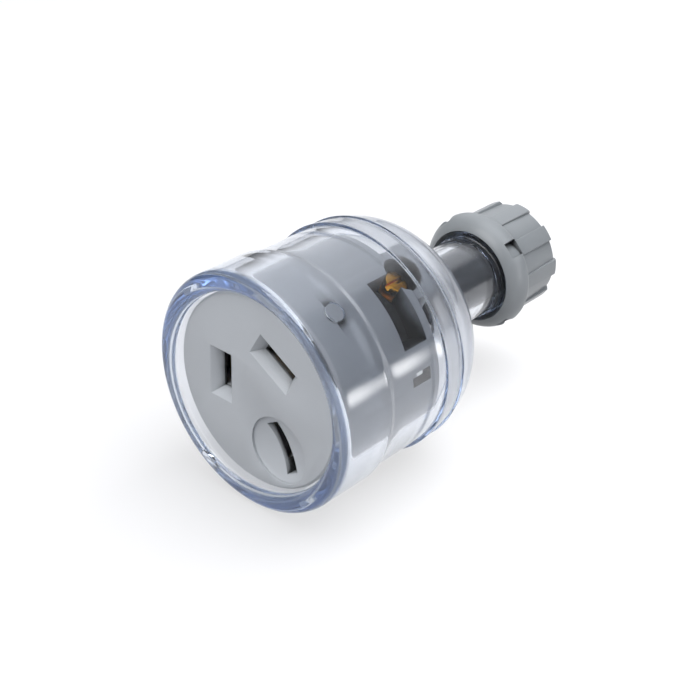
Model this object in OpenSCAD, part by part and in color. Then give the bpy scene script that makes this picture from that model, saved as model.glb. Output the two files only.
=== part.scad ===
// Cord extension socket for a flat three-pin plug, with a clear cover and a screwed cord gland.
// It stands on the rim of its cover, with the pin entries down and the gland up along +Z.
// The origin is on the axis, in the plane of the rim, and lengths are in millimetres.

/* [Socket base] */
// Radius of the base
base_r = 17.3; // [17:0.1:18.3]
// Depth of the face behind the rim of the cover
face_recess = 1.8; // [0.8:0.1:3]
// Thickness of the face wall
face_t = 3.2; // [2.8:0.1:4]
// Chamfer round the edge of the face
face_chamfer = 0.4; // [0.2:0.1:0.6]
// Length of the skirt behind the face
skirt_len = 23.8; // [22.8:0.1:25]
// Thickness of the skirt
skirt_t = 1.6; // [1.2:0.1:2]
// Wall of a terminal tower
tower_t = 1.3; // [1:0.1:1.6]
// Distance of a tower's outside below the skirt's
tower_step = 0.4; // [0.2:0.1:0.6]
// Radius of the snap pips that hold the base in the cover
pip_r = 1.5; // [1.1:0.1:1.8]
// Distance of the snap pips behind the rim
pip_z = 8.5; // [7.2:0.1:9.4]
// Height of the snap pips above the outside of the base
pip_rise = 0.9; // [0.6:0.1:1.2]

/* [Wire channels] */
// Distance of the wire channels behind the face
channel_z = 16.6; // [15.8:0.1:17]
// Width of a wire channel along the axis
channel_w = 5.5; // [4.5:0.1:5.8]
// Depth of a wire channel
channel_depth = 4; // [3:0.1:4]
// Wall round a wire channel
channel_t = 1.5; // [1.2:0.1:1.6]
// Angle that a wire channel takes up
channel_sweep = 39; // [36:1:42]
// Angle of the hole in a channel's floor
channel_hole_sweep = 10; // [6:1:12]
// Width of the hole in a channel's floor
channel_hole_w = 2.6; // [2:0.1:3]
// Angle of the latch windows in the skirt
latch_sweep = 7; // [5:1:9]
// Width of the latch windows along the axis
latch_w = 4.4; // [3:0.1:5]

/* [Pin entries] */
// Distance of the active and neutral pins from the axis
pin_r = 7.92; // [7.8:0.02:8.1]
// Distance of the earth pin from the axis
earth_r = 10.31; // [10.2:0.01:10.5]
// Length of the active and neutral slots
slot_len = 6.9; // [6.5:0.1:7.2]
// Length of the earth slot
earth_slot_len = 9.2; // [8.6:0.1:9.4]
// Width of every slot
slot_w = 2.2; // [1.9:0.1:2.4]
// Length of the mouth of an active or neutral funnel
funnel_len = 9.4; // [8.4:0.1:9.8]
// Width of the mouth of an active or neutral funnel
funnel_w = 5; // [4:0.1:5.4]
// Depth of an active or neutral funnel
funnel_depth = 1.9; // [1.4:0.1:2.3]
// Wall left between a funnel and the pocket behind it
web_t = 0.4; // [0.3:0.05:0.6]
// Radius of the dish round the earth slot
dish_r = 6; // [5.4:0.1:6.2]
// Depth of the step round the edge of the dish
dish_step = 0.45; // [0.3:0.05:0.6]
// Depth of the dish at its middle
dish_depth = 1.7; // [1.3:0.05:1.8]
// Width of the lead-in along the earth slot
lead_w = 3; // [2.4:0.1:3.6]
// Depth of the lead-in below the bottom of the dish
lead_depth = 0.3; // [0.2:0.05:0.4]

/* [Contacts and terminals] */
// Thickness of the contact strip
strip_t = 0.6; // [0.5:0.05:0.7]
// Gap between the contact leaves at their mouth
mouth_gap = 3.2; // [2.6:0.1:3.4]
// Gap between the contact leaves where they grip the pin
grip_gap = 1.3; // [1.1:0.1:1.5]
// Gap between the contact leaves at their root
root_gap = 2.6; // [2:0.1:2.8]
// Distance from the mouth of a contact to its grip
grip_z = 3; // [2:0.1:4]
// Length of a contact
contact_len = 16.9; // [16:0.1:18]
// Clearance between the contacts and the face wall
contact_gap = 1; // [0.4:0.1:1.4]
// Width of a terminal block
block_w = 6.4; // [6:0.1:6.8]
// Depth of a terminal block along the radius
block_d = 4.7; // [4.4:0.1:5]
// Length of a terminal block along the axis
block_len = 7.3; // [7:0.1:8.5]
// Clearance round a terminal block
block_gap = 0.15; // [0.1:0.05:0.25]
// Height of the tower's end above the terminal block
tower_rise = 0.8; // [0.4:0.1:1.4]
// Radius of the wire tunnel in a terminal block
tunnel_r = 1.7; // [1.4:0.1:1.8]
// Floor left under the wire tunnel
tunnel_floor = 1.5; // [1:0.1:1.7]
// Radius of the spigot that stakes a block to its contact
spigot_r = 1.1; // [0.8:0.1:1.4]
// Radius of a terminal screw
screw_r = 1.7; // [1.4:0.1:1.8]
// Radius of a terminal screw's head
screw_head_r = 2.15; // [2.1:0.05:2.5]
// Thickness of a terminal screw's head
screw_head_t = 2.4; // [2:0.1:2.8]
// Chamfer of a terminal screw's head
screw_head_chamfer = 0.25; // [0.1:0.05:0.4]
// Distance of a terminal screw's tip outside the axis of its wire tunnel
screw_tip = 0.85; // [0.5:0.05:1.4]
// Width of the slot in a screw head
screw_slot_w = 0.8; // [0.5:0.1:1]
// Depth of the slot in a screw head
screw_slot_d = 0.9; // [0.6:0.1:1.1]
// Distance of the screws above the bottom of their blocks
screw_z = 3.5; // [3.3:0.1:3.8]
// Clearance round a screw's thread
screw_gap = 0.1; // [0.05:0.05:0.2]
// Wall between a terminal pocket and the outside of the base
pocket_wall = 4.7; // [4.5:0.1:4.9]
// Radius of the holes that give access to the screws
access_r = 3.2; // [2.8:0.1:3.4]

/* [Cover] */
// Clearance between the base and the bore of the cover
base_gap = 0.3; // [0.15:0.05:0.4]
// Clearance round a snap pip
pip_gap = 0.1; // [0.05:0.05:0.3]
// Wall of the front sleeve
sleeve_t = 3.6; // [3.2:0.1:4.2]
// Length of the front sleeve
sleeve_len = 11; // [9.8:0.1:12.6]
// Length of the slope from the front sleeve to the body
sleeve_slope = 1.4; // [0.6:0.1:2]
// Rounding of the rim's outer edge
rim_round = 1.4; // [0.6:0.1:1.8]
// Rounding of the rim's inner edge
lip_round = 1.5; // [0.8:0.1:1.7]
// Wall of the body
body_t = 2.8; // [2.4:0.1:3.1]
// Height of the first ring above the body
ring_rise = 0.55; // [0.3:0.05:0.7]
// Height of the second ring above the body
back_ring_rise = 0.4; // [0.3:0.05:0.5]
// Height that is left of the first ring where it meets the second
ring_tail = 0.1; // [0:0.05:0.2]
// Distance between the front edges of the two rings
ring_pitch = 4.2; // [3.4:0.1:5]
// Length over which the second ring fades into the dome
ring_run = 2.2; // [1.6:0.1:3]
// Distance of the second ring in front of the bore's end
ring_lead = 1.4; // [0.8:0.1:2]
// Distance of the dome's start in front of the second ring
dome_lead = 1.1; // [0.6:0.1:1.6]
// Height of the dome's start above the body
dome_rise = 0.2; // [0.1:0.05:0.25]
// Radius of the dome's shoulder
dome_round = 12.3; // [11:0.1:13]
// Wall of the dome
dome_t = 3.4; // [3.3:0.1:3.8]
// Angle at which the dome's shoulder runs into the cone behind it
cone_angle = 60; // [54:1:66]
// Radius of the neck
neck_r = 7.5; // [7.2:0.1:8]
// Wall of the neck
neck_t = 1.7; // [1.4:0.1:1.9]
// Length of the neck behind the cone
neck_len = 21.1; // [19:0.1:23]
// Fillet between the cone and the neck
neck_fillet = 2; // [1:0.1:3]
// Height of the threaded end above the neck
thread_rise = 0.25; // [0.2:0.05:0.4]
// Length of the threaded end of the neck
thread_len = 8; // [7:0.1:9]

/* [Cord gland] */
// Clearance between sliding and screwed pieces of the gland
gland_gap = 0.3; // [0.25:0.05:0.4]
// Wall of the collet's sleeve
collet_t = 0.9; // [0.8:0.1:1.1]
// Length of the collet's sleeve in the neck
collet_len = 18; // [12:0.1:20]
// Radius of the collet's flange
flange_r = 7.5; // [7.2:0.1:7.6]
// Thickness of the collet's flange
flange_t = 1; // [0.8:0.1:1.4]
// Length of the collet's fingers
finger_len = 3.9; // [3.4:0.1:4.4]
// Radius of the fingers at their root
finger_r = 7.1; // [6.9:0.1:7.2]
// Radius of the fingers at their tip
finger_tip_r = 6.1; // [5.9:0.1:6.3]
// Height of the gripping ridges inside the fingers
ridge_h = 0.35; // [0.2:0.05:0.5]
// Distance from the tip of a finger to the crest of its ridge
ridge_back = 1; // [0.8:0.1:1.4]
// Number of fingers
finger_count = 6; // [4:1:8]
// Width of the slits between the fingers
slit_w = 1; // [0.6:0.1:1.4]
// Length of thread covered by the nut
nut_grip_len = 6.8; // [6.4:0.1:7.2]
// Travel left between the nut's shoulder and the collet's flange
nut_spare = 1.2; // [0.8:0.1:1.6]
// Thickness of the nut's rear wall
nut_wall = 2.2; // [1.8:0.1:3]
// Radius of the cord hole through the nut
cord_r = 5.3; // [5:0.1:5.6]
// Length of the nut's collar
collar_len = 4.45; // [4.2:0.05:4.8]
// Largest radius of the nut's collar
collar_r = 11.15; // [11:0.05:11.4]
// Radius of the collar's front flank
collar_round = 3.7; // [3.6:0.05:4.2]
// Radius of the collar's rear flank
collar_back_round = 1; // [0.7:0.05:1.1]
// Radius of the nut's front opening
opening_r = 8.25; // [8.15:0.05:8.4]
// Radius of the grip between its pads, at the collar
grip_r = 9.8; // [9.7:0.05:9.95]
// Radius of the grip between its pads, at the rear end
grip_back_r = 9.4; // [9.2:0.05:9.6]
// Radius of the pads at the collar
pad_r = 10.05; // [10:0.05:10.15]
// Radius of the pads at the rear end
pad_back_r = 10; // [9.8:0.05:10.15]
// Number of pads round the grip
pad_count = 9; // [7:1:11]
// Angle that a pad takes up
pad_sweep = 18; // [14:1:22]
// Chamfer of the nut's rear edge
nut_chamfer = 0.5; // [0.3:0.1:0.8]
// Number of notches round the collar
notch_count = 4; // [3:1:6]
// Angle that a notch takes up
notch_sweep = 16; // [12:1:20]
// Length of a notch along the axis
notch_len = 2.7; // [2:0.1:3]
// Distance of a notch in front of the collar's rear edge
notch_back = 0.3; // [0.2:0.05:0.4]
// Depth of a notch below the collar's widest ring, at its shallow end
notch_depth = 0.7; // [0.5:0.1:1]
// Depth of a notch below the collar's widest ring, at its deep end
notch_deep = 1.6; // [1.2:0.1:1.8]

/* [Hidden] */
$fn = 96;

// Small overlap that lets cuts pass through a surface
eps = 0.05;
// Overshoot of cuts and clipped blocks beyond a round surface
over = 1;
// Small inset that lets a straight line cross an arc where the two are tangent
inset = 0.01;
// Azimuths of the three poles
ACTIVE = 30;
NEUTRAL = 150;
EARTH = 270;
// Azimuth of the first snap pip, with the second opposite
pip_azimuth = 153;
// Azimuths where the neutral wire channel, its floor hole and its latch window start
channel_start = 147;
channel_hole_start = 171;
latch_start = 199.5;
// Azimuths of the middle of one grip pad and one collar notch
pad_azimuth = 168;
notch_azimuth = 166;

// Heights along the axis, from the rim
face_z = face_recess;
cavity_z = face_z + face_t;
pocket_z = face_z + funnel_depth + web_t;
mouth_z = cavity_z + contact_gap;
block_z = mouth_z + contact_len;
tower_z = block_z + block_len + tower_rise;
skirt_z = face_z + skirt_len;
screw_axis_z = block_z + screw_z;

// Radius inside the skirt's wall where the pips and channel blocks take root
root_r = base_r - skirt_t / 2;
// Radial places of the terminals
pocket_out = base_r - pocket_wall;
block_out = pocket_out - block_gap;
block_in = block_out - block_d;
block_mid = (block_out + block_in) / 2;
// Radial place of the spigot beside the folded root of an active or neutral contact
spigot_out = (pin_r + root_gap / 2 + strip_t + block_out) / 2;
pocket_in = min(block_in, pin_r - mouth_gap / 2 - strip_t) - 2 * block_gap;
pocket_w = block_w + 2 * block_gap;
tower_w = pocket_w + 2 * tower_t;
tower_in = pocket_in - tower_t;

// Radii and heights of the cover
bore_r = base_r + base_gap;
rim_r = bore_r + sleeve_t;
body_r = bore_r + body_t;
back_ring_z = tower_z - ring_lead;
ring_z = back_ring_z - ring_pitch;
fade_z = back_ring_z + ring_run;
dome_z = back_ring_z - dome_lead;
dome_r = body_r + dome_rise;
dome_c = dome_r - dome_round;
neck_bore_r = neck_r - neck_t;
neck_z = cone_meets(dome_round, neck_r);
neck_end_z = neck_z + neck_len;
thread_r = neck_r + thread_rise;

// Radii and heights of the gland
sleeve_r = neck_bore_r - gland_gap;
collet_bore_r = sleeve_r - collet_t;
flange_z = neck_end_z + gland_gap;
finger_z = flange_z + flange_t;
finger_end_z = finger_z + finger_len;
nut_bore_r = thread_r + gland_gap;
nut_z = neck_end_z - nut_grip_len;
shoulder_z = finger_z + nut_spare;
nut_wall_z = finger_end_z + gland_gap;
nut_end_z = nut_wall_z + nut_wall;
collar_end_z = nut_z + collar_len;
finger_taper = (finger_r - finger_tip_r) / finger_len;

// Radius of the dome's outside at a height on its shoulder
function dome_at(z) = dome_c + sqrt(pow(dome_round, 2) - pow(z - dome_z, 2));
// Height at which the cone that leaves a shoulder of radius rho comes down to radius r
function cone_meets(rho, r) =
    dome_z + rho * sin(cone_angle) + (dome_c + rho * cos(cone_angle) - r) / tan(cone_angle);
// Radius of the nut's inner cone, which follows the fingers at the gland's clearance
function nut_cone_at(z) = finger_r - (z - finger_z) * finger_taper + gland_gap;

// Extrudes a radius-height outline along the tangent, centred on the radius
module along_tangent(len) {
    rotate([90, 0, 0])
        linear_extrude(len, center = true)
            children();
}

// Extrudes a tangent-height outline along the radius, from x0 to x1
module along_radius(x0, x1) {
    translate([x0, 0, 0])
        rotate([90, 0, 90])
            linear_extrude(x1 - x0)
                children();
}

// A block between two radii, two azimuths and two heights
module ring_sector(r0, r1, start, sweep, z0, z1) {
    rotate(start)
        rotate_extrude(angle = sweep)
            translate([r0, z0])
                square([r1 - r0, z1 - z0]);
}

// A box placed by its radial reach, its width across the radius and its heights
module radial_box(x0, x1, width, z0, z1) {
    translate([x0, -width / 2, z0])
        cube([x1 - x0, width, z1 - z0]);
}

// Dome, cone and neck root of the cover for a shoulder of radius rho and a neck of radius r
module dome_outline(rho, r) {
    top_z = cone_meets(rho, r);
    side = (rho - inset) * [cos(cone_angle), sin(cone_angle)];
    polygon([[0, dome_z], [dome_c, dome_z], [dome_c, dome_z] + side, [r, top_z], [0, top_z]]);
    translate([dome_c, dome_z])
        intersection() {
            circle(rho);
            square(rho);
        }
}

// Hollow of the corner between the cone and the neck, rounded by the fillet
module neck_root_outline() {
    centre_r = neck_r + neck_fillet;
    drop = (neck_fillet - neck_fillet * cos(cone_angle)) / sin(cone_angle);
    centre = [centre_r, neck_z + drop];
    cone_foot = centre - neck_fillet * [cos(cone_angle), sin(cone_angle)];
    difference() {
        polygon([[neck_r - eps, neck_z - eps], cone_foot, centre, [neck_r - eps, centre.y]]);
        translate(centre)
            circle(neck_fillet + inset);
    }
}

module cover_outline() {
    square([rim_r - rim_round, sleeve_len]);
    translate([0, rim_round])
        square([rim_r, sleeve_len - rim_round]);
    translate([rim_r - rim_round, rim_round])
        circle(rim_round);
    polygon([
        [0, sleeve_len], [rim_r, sleeve_len],
        [body_r, sleeve_len + sleeve_slope], [0, sleeve_len + sleeve_slope]
    ]);
    translate([0, sleeve_len])
        square([body_r, back_ring_z - sleeve_len]);
    polygon([
        [0, ring_z], [body_r + ring_rise, ring_z],
        [body_r + ring_tail, back_ring_z], [0, back_ring_z]
    ]);
    polygon([
        [0, back_ring_z], [body_r + back_ring_rise, back_ring_z],
        [dome_at(fade_z) - inset, fade_z], [0, fade_z]
    ]);
    dome_outline(dome_round, neck_r);
    neck_root_outline();
    translate([0, neck_z])
        square([neck_r, neck_len]);
    translate([0, neck_end_z - thread_len])
        square([thread_r, thread_len]);
}

module cover_hollow() {
    translate([0, -eps])
        square([bore_r, tower_z + eps]);
    difference() {
        translate([0, -eps])
            square([bore_r + lip_round, lip_round + eps]);
        translate([bore_r + lip_round, lip_round])
            circle(lip_round);
    }
    dome_outline(dome_round - dome_t, neck_bore_r);
    translate([0, dome_z])
        square([neck_bore_r, neck_end_z - dome_z + eps]);
}

// Snap pip of the base, or the blind hole in the cover that takes it
module snap_pip(r, rise) {
    translate([root_r, 0, pip_z])
        rotate([0, 90, 0])
            cylinder(h = base_r + rise - root_r, r = r);
}

module clear_cover() {
    color([0.8, 0.84, 0.9, 0.4])
        difference() {
            rotate_extrude() {
                difference() {
                    cover_outline();
                    cover_hollow();
                }
            }
            for (side = [0, 180])
                rotate(pip_azimuth + side)
                    snap_pip(pip_r + pip_gap, pip_rise + pip_gap);
        }
}

// Tapered mouth of an active or neutral pin entry, cut from the face
module pin_funnel() {
    mouth = face_z - eps;
    floor_z = face_z + funnel_depth;
    translate([pin_r, 0, 0])
        intersection() {
            along_tangent(funnel_len)
                polygon([
                    [-funnel_w / 2, mouth], [funnel_w / 2, mouth],
                    [slot_w / 2, floor_z], [-slot_w / 2, floor_z]
                ]);
            along_radius(-funnel_w / 2, funnel_w / 2)
                polygon([
                    [-funnel_len / 2, mouth], [funnel_len / 2, mouth],
                    [slot_len / 2, floor_z], [-slot_len / 2, floor_z]
                ]);
        }
}

// Stepped round dish, lead-in and radial slot of the earth pin entry
module earth_entry() {
    bowl = dish_depth - dish_step;
    ball_r = (pow(dish_r, 2) + pow(bowl, 2)) / (2 * bowl);
    slot_in = earth_r - earth_slot_len / 2;
    slot_out = earth_r + earth_slot_len / 2;
    lead_z = face_z + dish_depth + lead_depth;
    intersection() {
        translate([earth_r, 0, face_z + dish_depth - ball_r])
            sphere(ball_r);
        translate([earth_r, 0, face_z - eps])
            cylinder(h = face_t, r = dish_r);
    }
    along_radius(slot_in, slot_out)
        polygon([
            [-lead_w / 2, face_z], [lead_w / 2, face_z],
            [slot_w / 2, lead_z], [-slot_w / 2, lead_z]
        ]);
    radial_box(slot_in, slot_out, slot_w, face_z - eps, block_z - strip_t);
}

// Housing of one pole, which holds its contact and terminal
module tower() {
    intersection() {
        radial_box(tower_in, base_r + over, tower_w, face_z + face_chamfer, tower_z);
        rotate(180)
            cylinder(h = tower_z, r = base_r - tower_step);
    }
}

// Pocket of one pole, with the access hole to its screw from the side
module tower_pocket() {
    radial_box(pocket_in, pocket_out, pocket_w, pocket_z, tower_z + eps);
    translate([pocket_out - eps, 0, screw_axis_z])
        rotate([0, 90, 0])
            cylinder(h = base_r, r = access_r);
}

// Block behind the wire channel on the neutral side
module channel_block() {
    z0 = face_z + channel_z - channel_t;
    z1 = z0 + channel_w + 2 * channel_t;
    ring_sector(base_r - channel_depth - channel_t, root_r,
        channel_start, channel_sweep + 2 * channel_t, z0, z1);
}

// Wire channel, the hole in its floor and the latch window on the neutral side
module channel_cut() {
    z0 = face_z + channel_z;
    hole_z = z0 + (channel_w - channel_hole_w) / 2;
    latch_z = z0 + (channel_w - latch_w) / 2;
    ring_sector(base_r - channel_depth, base_r + over, channel_start, channel_sweep, z0, z0 + channel_w);
    ring_sector(base_r - channel_depth - channel_t - eps, base_r,
        channel_hole_start, channel_hole_sweep, hole_z, hole_z + channel_hole_w);
    ring_sector(base_r - skirt_t - eps, base_r + over,
        latch_start, latch_sweep, latch_z, latch_z + latch_w);
}

// Shape and its mirror image on the active side
module both_sides() {
    children();
    mirror([1, 0, 0])
        children();
}

module socket_base() {
    color([0.68, 0.7, 0.72])
        difference() {
            union() {
                rotate_extrude()
                    polygon([
                        [0, face_z], [base_r - face_chamfer, face_z],
                        [base_r, face_z + face_chamfer], [base_r, skirt_z],
                        [base_r - skirt_t, skirt_z], [base_r - skirt_t, cavity_z],
                        [0, cavity_z]
                    ]);
                for (azimuth = [ACTIVE, NEUTRAL, EARTH])
                    rotate(azimuth)
                        tower();
                both_sides()
                    channel_block();
                for (side = [0, 180])
                    rotate(pip_azimuth + side)
                        snap_pip(pip_r, pip_rise);
            }
            for (azimuth = [ACTIVE, NEUTRAL, EARTH])
                rotate(azimuth)
                    tower_pocket();
            for (azimuth = [ACTIVE, NEUTRAL])
                rotate(azimuth) {
                    pin_funnel();
                    translate([pin_r, 0, 0])
                        radial_box(-slot_w / 2, slot_w / 2, slot_len, face_z + eps, pocket_z + eps);
                }
            rotate(EARTH)
                earth_entry();
            both_sides()
                channel_cut();
        }
}

// Outline of a folded contact about a centre line, with a foot that reaches from foot_in to foot_out
function contact_outline(centre, foot_in, foot_out) = [
    [centre - mouth_gap / 2 - strip_t, mouth_z],
    [centre - mouth_gap / 2, mouth_z],
    [centre - grip_gap / 2, mouth_z + grip_z],
    [centre - root_gap / 2, block_z - strip_t],
    [centre + root_gap / 2, block_z - strip_t],
    [centre + grip_gap / 2, mouth_z + grip_z],
    [centre + mouth_gap / 2, mouth_z],
    [centre + mouth_gap / 2 + strip_t, mouth_z],
    [centre + grip_gap / 2 + strip_t, mouth_z + grip_z],
    [centre + root_gap / 2 + strip_t, block_z - strip_t],
    [foot_out, block_z - strip_t],
    [foot_out, block_z],
    [foot_in, block_z],
    [centre - root_gap / 2 - strip_t, block_z - strip_t],
    [centre - grip_gap / 2 - strip_t, mouth_z + grip_z]
];

// Hole in a contact's foot, at radius at, for the spigot of its terminal block
module spigot_hole(at) {
    translate([at, 0, block_z - strip_t - eps])
        cylinder(h = strip_t + 2 * eps, r = spigot_r + screw_gap);
}

// Contact whose leaves lie along the tangent, as the active and neutral pins do
module pin_contact() {
    root_in = pin_r - root_gap / 2 - strip_t;
    color([0.78, 0.6, 0.3])
        difference() {
            along_tangent(block_w)
                polygon(contact_outline(pin_r, root_in, block_out));
            spigot_hole(spigot_out);
        }
}

module active_contact() {
    rotate(ACTIVE)
        pin_contact();
}

module neutral_contact() {
    rotate(NEUTRAL)
        pin_contact();
}

// Contact whose leaves lie along the radius, as the earth pin does
module earth_contact() {
    foot = block_w / 2;
    color([0.78, 0.6, 0.3])
        rotate(EARTH)
            difference() {
                along_radius(block_in, block_out)
                    polygon(contact_outline(0, -foot, foot));
                spigot_hole(block_mid);
            }
}

// Brass block with a wire tunnel from behind, a cross hole for its screw and a staking spigot at radius at
module terminal(at) {
    color([0.8, 0.65, 0.35])
        difference() {
            union() {
                radial_box(block_in, block_out, block_w, block_z, block_z + block_len);
                translate([at, 0, block_z - strip_t])
                    cylinder(h = strip_t + eps, r = spigot_r);
            }
            translate([block_mid, 0, block_z + tunnel_floor])
                cylinder(h = block_len, r = tunnel_r);
            translate([block_mid, 0, screw_axis_z])
                rotate([0, 90, 0])
                    cylinder(h = block_d, r = screw_r + screw_gap);
        }
}

module active_terminal() {
    rotate(ACTIVE)
        terminal(spigot_out);
}

module neutral_terminal() {
    rotate(NEUTRAL)
        terminal(spigot_out);
}

module earth_terminal() {
    rotate(EARTH)
        terminal(block_mid);
}

// Slotted cheese-head screw whose head bears on its block and whose tip reaches into the wire tunnel
module terminal_screw() {
    tip = block_mid + screw_tip;
    rim = block_out + screw_head_t - screw_head_chamfer;
    color([0.85, 0.66, 0.28])
        translate([0, 0, screw_axis_z])
            rotate([0, 90, 0])
                difference() {
                    union() {
                        translate([0, 0, tip])
                            cylinder(h = block_out - tip + eps, r = screw_r);
                        translate([0, 0, block_out])
                            cylinder(h = rim - block_out, r = screw_head_r);
                        translate([0, 0, rim])
                            cylinder(h = screw_head_chamfer, r1 = screw_head_r,
                                r2 = screw_head_r - screw_head_chamfer);
                    }
                    translate([-screw_head_r, -screw_slot_w / 2, block_out + screw_head_t - screw_slot_d])
                        cube([2 * screw_head_r, screw_slot_w, screw_head_t]);
                }
}

module active_screw() {
    rotate(ACTIVE)
        terminal_screw();
}

module neutral_screw() {
    rotate(NEUTRAL)
        terminal_screw();
}

module earth_screw() {
    rotate(EARTH)
        terminal_screw();
}

// Split collet that the nut squeezes on the cord
module gland_collet() {
    ridge_z = finger_end_z - ridge_back;
    color([0.42, 0.43, 0.45])
        difference() {
            rotate_extrude()
                polygon([
                    [collet_bore_r, neck_end_z - collet_len], [sleeve_r, neck_end_z - collet_len],
                    [sleeve_r, flange_z], [flange_r, flange_z],
                    [flange_r, finger_z], [finger_r, finger_z],
                    [finger_tip_r, finger_end_z], [collet_bore_r, finger_end_z],
                    [collet_bore_r - ridge_h, ridge_z], [collet_bore_r, ridge_z - ridge_back]
                ]);
            for (i = [0 : finger_count - 1])
                rotate(i * 360 / finger_count)
                    radial_box(0, flange_r, slit_w, finger_z + slit_w / 2, finger_end_z + eps);
        }
}

// Outline of the nut's collar, a bead with a long front flank and a short rear flank
module collar_outline() {
    crest_z = collar_end_z - collar_back_round;
    intersection() {
        translate([collar_r - collar_round, crest_z])
            circle(collar_round);
        translate([0, nut_z])
            square([collar_r, crest_z - nut_z]);
    }
    translate([collar_r - collar_back_round, crest_z])
        circle(collar_back_round);
    translate([0, nut_z])
        square([collar_r - collar_round, collar_len]);
    translate([0, crest_z])
        square([collar_r - collar_back_round, collar_back_round]);
}

// Outline of the space inside the nut: front bevel, thread, cone and cord hole
module nut_hollow() {
    bevel = opening_r - nut_bore_r;
    polygon([
        [0, nut_z - eps], [opening_r + eps, nut_z - eps], [nut_bore_r, nut_z + bevel],
        [nut_bore_r, shoulder_z], [nut_cone_at(shoulder_z), shoulder_z],
        [nut_cone_at(nut_wall_z), nut_wall_z], [cord_r, nut_wall_z],
        [cord_r, nut_end_z - nut_chamfer], [cord_r + nut_chamfer + eps, nut_end_z + eps],
        [0, nut_end_z + eps]
    ]);
}

// Outline of the grip behind the collar between a front and a rear radius
module grip_outline(front_r, back_r) {
    polygon([
        [0, collar_end_z - eps], [front_r, collar_end_z - eps],
        [back_r, nut_end_z - nut_chamfer], [back_r - nut_chamfer, nut_end_z], [0, nut_end_z]
    ]);
}

// Ramped notch in the collar, deep at its start and shallow at its end
module collar_notch() {
    shallow = collar_r - notch_depth;
    deep = collar_r - notch_deep;
    reach = collar_r + over;
    far = [cos(notch_sweep), sin(notch_sweep)];
    translate([0, 0, collar_end_z - notch_back - notch_len])
        linear_extrude(notch_len)
            polygon([[deep, 0], [reach, 0], reach * far, shallow * far]);
}

module gland_nut() {
    color([0.6, 0.62, 0.63])
        difference() {
            union() {
                rotate_extrude() {
                    collar_outline();
                    grip_outline(grip_r, grip_back_r);
                }
                for (i = [0 : pad_count - 1])
                    rotate(pad_azimuth - pad_sweep / 2 + i * 360 / pad_count)
                        rotate_extrude(angle = pad_sweep)
                            grip_outline(pad_r, pad_back_r);
            }
            rotate_extrude()
                nut_hollow();
            for (i = [0 : notch_count - 1])
                rotate(notch_azimuth - notch_sweep / 2 + i * 360 / notch_count)
                    collar_notch();
        }
}

clear_cover();
socket_base();
active_contact();
neutral_contact();
earth_contact();
active_terminal();
neutral_terminal();
earth_terminal();
active_screw();
neutral_screw();
earth_screw();
gland_collet();
gland_nut();
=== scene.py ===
"""Dressed scene of a cord extension socket: a grey socket base in a clear cover, with a screwed cord gland.

Sizes are written in millimetres, as on a drawing, and become metres where a mesh is made.
"""

import logging
import math
from dataclasses import dataclass
from enum import Enum
from typing import Callable, Optional

import bmesh
import bpy
from mathutils import Matrix, Vector


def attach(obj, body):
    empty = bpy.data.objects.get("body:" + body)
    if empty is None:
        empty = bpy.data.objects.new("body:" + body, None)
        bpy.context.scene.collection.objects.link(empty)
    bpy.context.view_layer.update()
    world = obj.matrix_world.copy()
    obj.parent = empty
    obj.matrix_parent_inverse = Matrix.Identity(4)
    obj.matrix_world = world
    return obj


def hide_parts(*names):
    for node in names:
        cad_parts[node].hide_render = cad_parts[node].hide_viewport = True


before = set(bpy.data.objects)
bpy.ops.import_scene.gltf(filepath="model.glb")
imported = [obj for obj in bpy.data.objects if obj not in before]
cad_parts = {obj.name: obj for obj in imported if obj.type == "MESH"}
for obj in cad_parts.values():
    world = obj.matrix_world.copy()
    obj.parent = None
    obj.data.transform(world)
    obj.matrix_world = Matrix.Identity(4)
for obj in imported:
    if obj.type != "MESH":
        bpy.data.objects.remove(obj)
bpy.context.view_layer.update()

MM = 0.001
SHARP_DEGREES = 35.0
OUTLINE_MERGE_MM = 0.001
SHELL_MERGE_MM = 0.0005
RING_TOLERANCE_MM = 0.02
THREAD_FLANK = 2.2
THREAD_ROOT = 0.6
log = logging.getLogger("extension_socket")


class Body(Enum):
    """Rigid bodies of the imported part."""

    SOCKET = "socket"
    CORD_GRIP = "cord_grip"
    GLAND_NUT = "gland_nut"


class Slot(Enum):
    """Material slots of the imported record."""

    COVER = "clear_polycarbonate"
    BASE = "base_plastic"
    CONTACT = "contact_brass"
    TERMINAL = "terminal_brass"
    SCREW = "screw_brass"
    COLLET = "collet_plastic"
    NUT = "nut_plastic"


class Flag(Enum):
    """What a flag on a stand does with a lamp's light."""

    KEEP_OFF = "EXCLUDE"
    ONLY_ON = "INCLUDE"


def linear(code: str, alpha: float = 1.0) -> tuple[float, float, float, float]:
    """Turn an sRGB hex colour into linear light.

    Args:
        code: Colour as six hex digits after a hash sign.
        alpha: Fourth channel of the result.

    Returns:
        Linear red, green, blue and alpha.
    """
    parts = [int(code[i : i + 2], 16) / 255 for i in (1, 3, 5)]
    red, green, blue = (c / 12.92 if c <= 0.04045 else ((c + 0.055) / 1.055) ** 2.4 for c in parts)
    return red, green, blue, alpha


def per_metre(size_mm: float) -> float:
    """Scale of a texture whose cells are about size_mm wide."""
    return 1 / (size_mm * MM)


def add_node(
    tree: bpy.types.NodeTree,
    kind: str,
    settings: Optional[dict] = None,
    inputs: Optional[dict] = None,
) -> bpy.types.Node:
    """Add a node with its settings and links.

    Args:
        tree: Node tree that takes the node.
        kind: Type name of the node.
        settings: Attributes of the node by name.
        inputs: Values or output sockets by input name or number.

    Returns:
        The new node.
    """
    node = tree.nodes.new(kind)
    for name, value in (settings or {}).items():
        setattr(node, name, value)
    for name, value in (inputs or {}).items():
        if isinstance(value, bpy.types.NodeSocket):
            tree.links.new(value, node.inputs[name])
        else:
            node.inputs[name].default_value = value
    return node


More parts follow.
